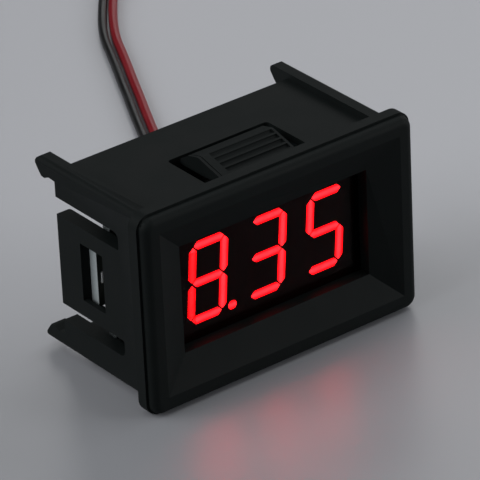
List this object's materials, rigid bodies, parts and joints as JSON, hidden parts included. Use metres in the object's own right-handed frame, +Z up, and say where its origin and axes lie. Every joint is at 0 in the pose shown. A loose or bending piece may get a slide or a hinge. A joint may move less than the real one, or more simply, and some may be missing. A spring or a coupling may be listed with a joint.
{
  "type": "digital panel meter",
  "caption": "Snap-in panel meter: dark moulded housing with sloping bezel, tinted window, lit red digit display, circuit board and red and black leads.",
  "frame": {"origin": "centre of the bottom of the meter's bounding box, leads left out: it stands on its bezel's lower edge", "axes": "+Y into the panel, so the display faces -Y; +X to the right seen from the front; +Z up"},
  "size_m": [0.1016, 0.1298, 0.0314],
  "materials": {
    "black_abs": "fine satin moulded ABS, near black",
    "red_tint": "clear acrylic sheet dyed dark red, polished",
    "display_case": "moulded plastic with a dark painted face",
    "resin": "cast epoxy, milky",
    "lit_red": "milky epoxy light cell, lit red",
    "unlit_cell": "milky epoxy light cell behind the dark tint, not lit",
    "tinned_wire": "tinned copper",
    "solder": "tin solder, bright and smooth",
    "board": "glass-fibre laminate with a dark teal solder mask",
    "chip_epoxy": "moulded epoxy, matt black",
    "tinned_legs": "tin-plated copper alloy",
    "resistor_glaze": "glazed resistor film on ceramic",
    "capacitor_ceramic": "fired ceramic, brown",
    "trimmer_plastic": "moulded heat-proof plastic, off-white",
    "trimmer_brass": "plated brass stamping",
    "red_pvc": "soft extruded vinyl, red",
    "black_pvc": "soft extruded vinyl, black"
  },
  "bodies": {
    "meter": {"housing": "black_abs", "tinted_window": "red_tint", "display_shell": "display_case", "display_resin": "resin", "digit_one_lit": "lit_red", "digit_two_lit": "lit_red", "digit_three_lit": "lit_red", "decimal_point_lit": "lit_red", "unlit_segments": "unlit_cell", "display_pins": "tinned_wire", "display_solder": "solder", "circuit_board": "board", "edge_pad": "solder", "controller_chip": "chip_epoxy", "controller_legs": "tinned_legs", "regulator_body": "chip_epoxy", "regulator_tabs": "tinned_legs", "diode_body": "chip_epoxy", "diode_ends": "tinned_legs", "resistor_bodies": "resistor_glaze", "resistor_ends": "tinned_legs", "capacitor_bodies": "capacitor_ceramic", "capacitor_ends": "tinned_legs", "trimmer_body": "trimmer_plastic", "lead_cores": "tinned_wire", "lead_solder": "solder", "red_lead": "red_pvc", "black_lead": "black_pvc", "red_lead_coil": "red_pvc", "black_lead_coil": "black_pvc"},
    "rotor": {"trimmer_rotor": "trimmer_brass"}
  },
  "joints": [
    {"name": "trimmer_turn", "type": "hinge", "parent": "meter", "child": "rotor", "pos_m": [-0.0145, 0.0051, 0.0199], "axis": [0, 1, 0], "range_deg": [-130, 130]}
  ]
}
